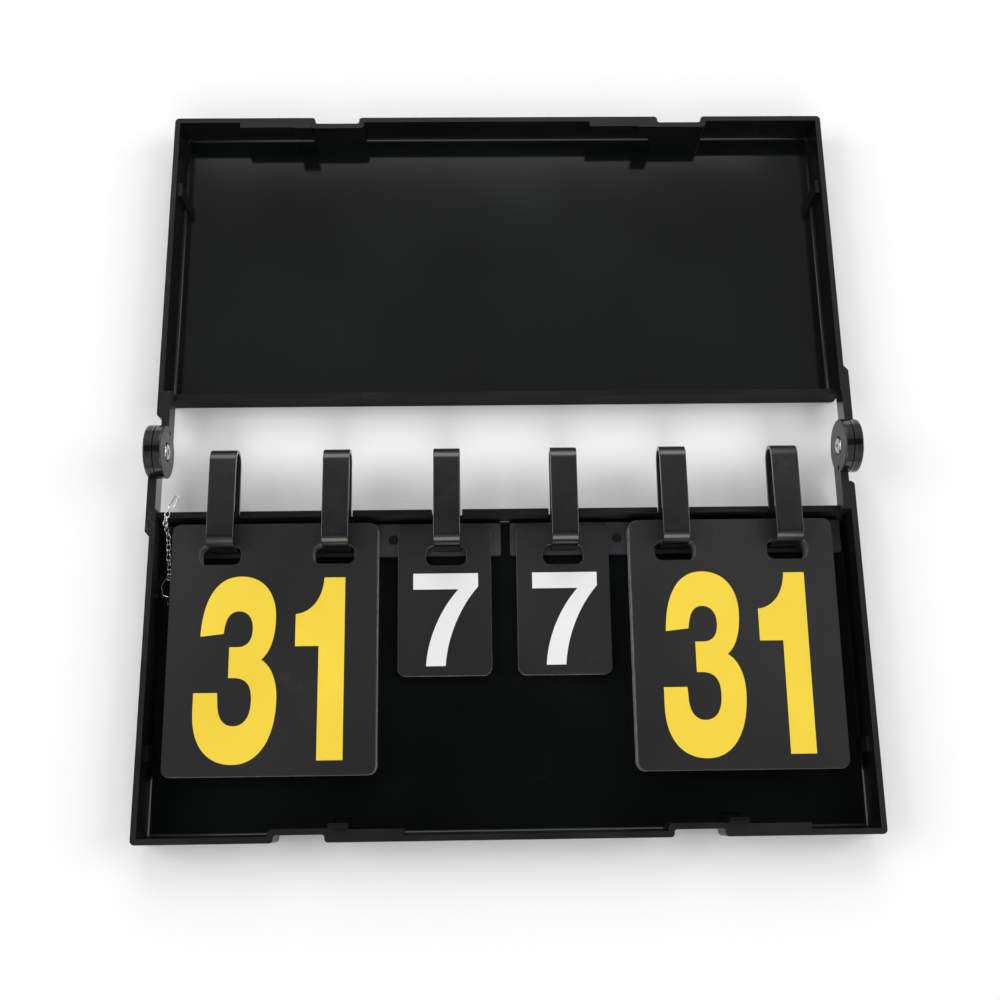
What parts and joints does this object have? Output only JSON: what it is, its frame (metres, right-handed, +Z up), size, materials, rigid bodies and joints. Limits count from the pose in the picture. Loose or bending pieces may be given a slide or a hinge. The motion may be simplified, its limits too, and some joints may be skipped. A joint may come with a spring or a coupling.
{
  "type": "flip score board",
  "caption": "Folding tabletop flip score board: two hinged trays, strap rings and hanging number cards, opened flat",
  "frame": {"origin": "on the table, under the middle of the hinge line between the two trays", "axes": "+X along the hinge line to the right, +Y from the card tray towards the lid tray, +Z up"},
  "size_m": [0.39, 0.4148, 0.0364],
  "materials": {
    "case_plastic": "injection-moulded black ABS, satin outside and glossier on the tray floors",
    "ring_plastic": "glossy black nylon strap",
    "bar_plastic": "fine-grained dark grey plastic",
    "card_vinyl": "charcoal PVC card with paler cut edges",
    "screw_steel": "bright zinc-plated steel",
    "chain_steel": "nickel-plated steel wire",
    "washer_plastic": "black fibre friction washer",
    "bar_screw_steel": "small dark zinc screws"
  },
  "bodies": {
    "card_case": {"lower_shell": "case_plastic", "hinge_screw_left": "screw_steel", "hinge_washer_left": "washer_plastic", "hinge_nut_left": "screw_steel", "ring_bar_left": "bar_plastic", "ring_bar_right": "bar_plastic", "bar_screws_left": "bar_screw_steel", "bar_screws_right": "bar_screw_steel", "chain_links": "chain_steel", "chain_hook": "chain_steel", "chain_clip": "chain_steel", "left_outer_ring": "ring_plastic", "left_inner_ring": "ring_plastic", "left_small_ring": "ring_plastic", "right_small_ring": "ring_plastic", "right_inner_ring": "ring_plastic", "right_outer_ring": "ring_plastic"},
    "lid_case": {"upper_shell": "case_plastic", "hinge_screw_right": "screw_steel", "hinge_washer_right": "washer_plastic", "hinge_nut_right": "screw_steel"},
    "left_large_pile": {"large_pile_left": "card_vinyl"},
    "left_large_card": {"large_card_left": "card_vinyl"},
    "right_large_pile": {"large_pile_right": "card_vinyl"},
    "right_large_card": {"large_card_right": "card_vinyl"},
    "left_small_pile": {"small_pile_left": "card_vinyl"},
    "left_small_card": {"small_card_left": "card_vinyl"},
    "right_small_pile": {"small_pile_right": "card_vinyl"},
    "right_small_card": {"small_card_right": "card_vinyl"}
  },
  "joints": [
    {"name": "case_fold", "type": "hinge", "parent": "card_case", "child": "lid_case", "pos_m": [0, 0, 0.0216], "axis": [-1, 0, 0], "range_deg": [-180, 111]},
    {"name": "left_large_pile_lift", "type": "hinge", "parent": "card_case", "child": "left_large_pile", "pos_m": [0, -0.036, 0.0076], "axis": [-1, 0, 0], "range_deg": [0, 15]},
    {"name": "left_large_card_flip", "type": "hinge", "parent": "left_large_pile", "child": "left_large_card", "pos_m": [0, -0.0373, 0.0066], "axis": [-1, 0, 0], "range_deg": [0, 45]},
    {"name": "right_large_pile_lift", "type": "hinge", "parent": "card_case", "child": "right_large_pile", "pos_m": [0, -0.036, 0.0076], "axis": [-1, 0, 0], "range_deg": [0, 15]},
    {"name": "right_large_card_flip", "type": "hinge", "parent": "right_large_pile", "child": "right_large_card", "pos_m": [0, -0.0373, 0.0066], "axis": [-1, 0, 0], "range_deg": [0, 45]},
    {"name": "left_small_pile_lift", "type": "hinge", "parent": "card_case", "child": "left_small_pile", "pos_m": [0, -0.038, 0.0076], "axis": [-1, 0, 0], "range_deg": [0, 25]},
    {"name": "left_small_card_flip", "type": "hinge", "parent": "left_small_pile", "child": "left_small_card", "pos_m": [0, -0.04025, 0.011], "axis": [-1, 0, 0], "range_deg": [0, 100]},
    {"name": "right_small_pile_lift", "type": "hinge", "parent": "card_case", "child": "right_small_pile", "pos_m": [0, -0.038, 0.0076], "axis": [-1, 0, 0], "range_deg": [0, 25]},
    {"name": "right_small_card_flip", "type": "hinge", "parent": "right_small_pile", "child": "right_small_card", "pos_m": [0, -0.04025, 0.011], "axis": [-1, 0, 0], "range_deg": [0, 100]}
  ]
}
